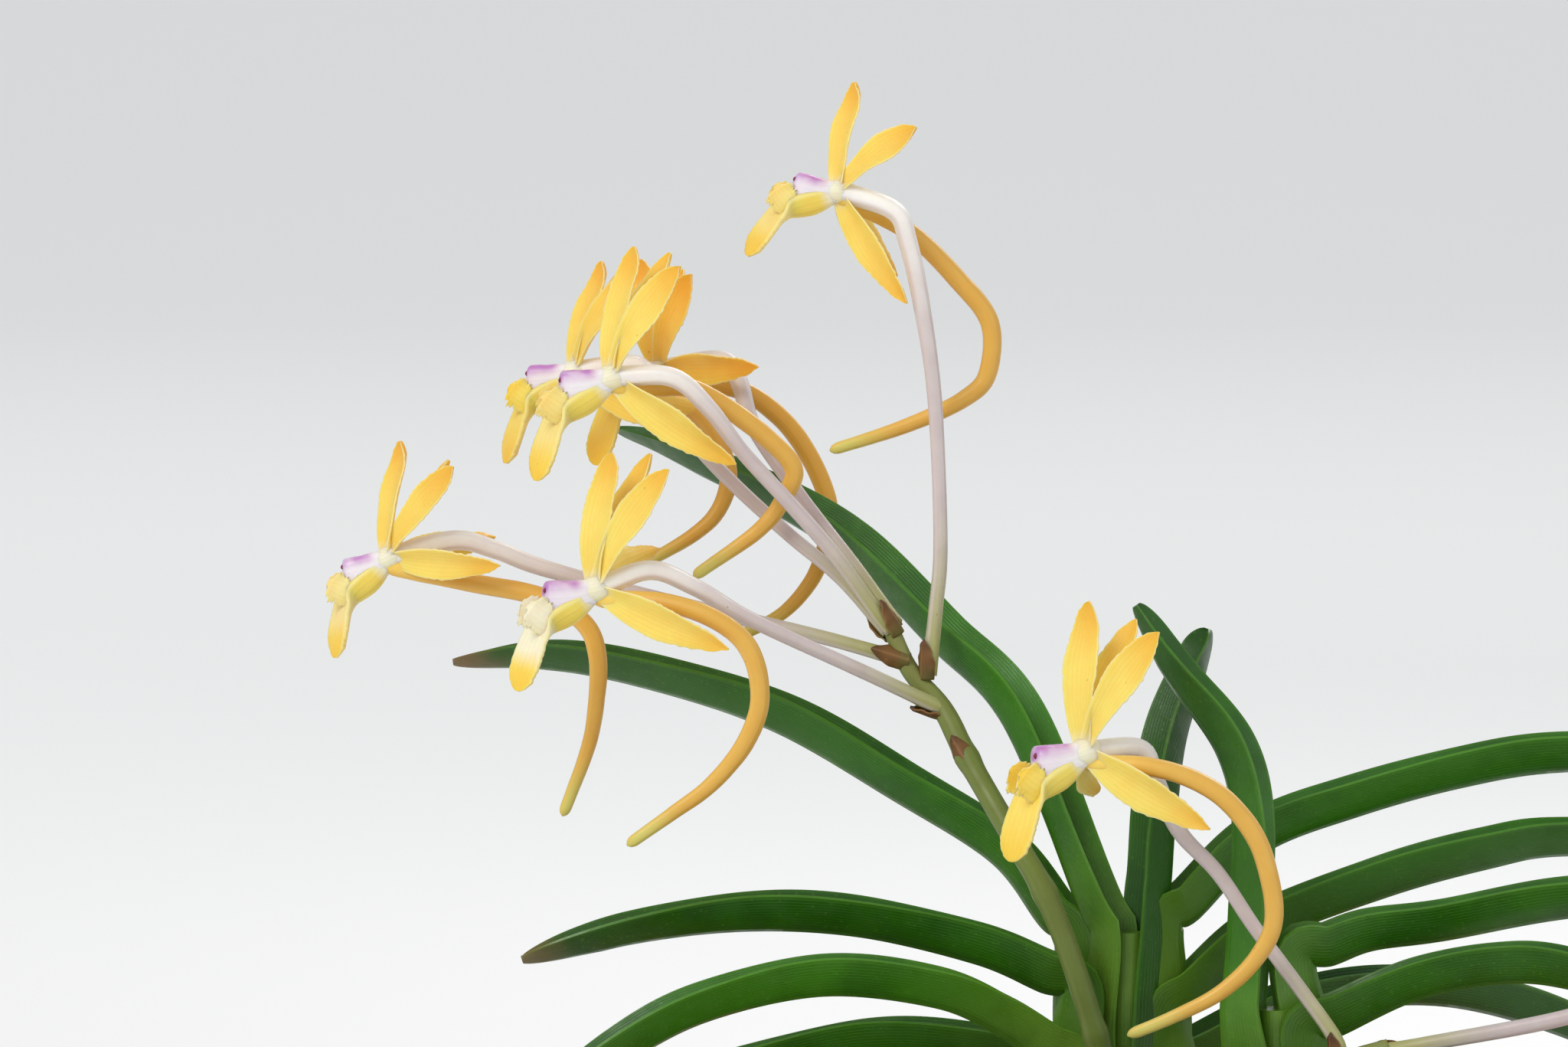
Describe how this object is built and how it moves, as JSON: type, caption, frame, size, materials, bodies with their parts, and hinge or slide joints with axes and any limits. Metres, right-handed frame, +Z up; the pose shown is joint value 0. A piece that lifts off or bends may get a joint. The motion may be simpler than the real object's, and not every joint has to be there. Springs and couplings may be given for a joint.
{
  "type": "potted orchid",
  "caption": "Wind orchid in flower with folded arching leaves and long-spurred yellow blooms on side sprays, rooted in moss in a tapered round clay pot.",
  "frame": {"origin": "middle of the pot's flat base, on its underside", "axes": "+Z up along the pot's axis, -X the side that the blooms of the long spray face, -Y the side that the picture was taken from"},
  "size_m": [0.1369, 0.0827, 0.1733],
  "materials": {
    "clay": "unglazed fired clay",
    "moss": "dried moss, soft and matt",
    "root": "dull silvery root skin",
    "sheath": "smooth green leaf sheath",
    "leaf": "waxy leaf, faintly pitted",
    "stalk": "smooth fleshy stalk",
    "petal": "waxy petal, softly translucent",
    "column": "waxy, faintly translucent"
  },
  "bodies": {
    "root": {"pot": "clay", "moss": "moss", "roots_main": "root", "roots_side": "root", "fan_main": "sheath", "fan_side": "sheath", "leaf_left_top": "leaf", "leaf_left_long": "leaf", "leaf_left_glossy": "leaf", "leaf_left_low": "leaf", "leaf_left_lowest": "leaf", "leaf_upright": "leaf", "leaf_right_top": "leaf", "leaf_right_long": "leaf", "leaf_right_back": "leaf", "leaf_side_upright": "leaf", "leaf_side_long": "leaf", "leaf_side_spotted": "leaf", "leaf_front_left": "leaf", "leaf_front_right": "leaf", "stem_left_spray": "stalk", "stem_right_spray": "stalk", "bloom_top": "petal", "column_top": "column", "bloom_front": "petal", "column_front": "column", "bloom_behind": "petal", "column_behind": "column", "bloom_back": "petal", "column_back": "column", "bloom_centre": "petal", "column_centre": "column", "bloom_left": "petal", "column_left": "column", "bloom_right_front": "petal", "column_right_front": "column", "bloom_right_side": "petal", "column_right_side": "column"}
  },
  "joints": []
}
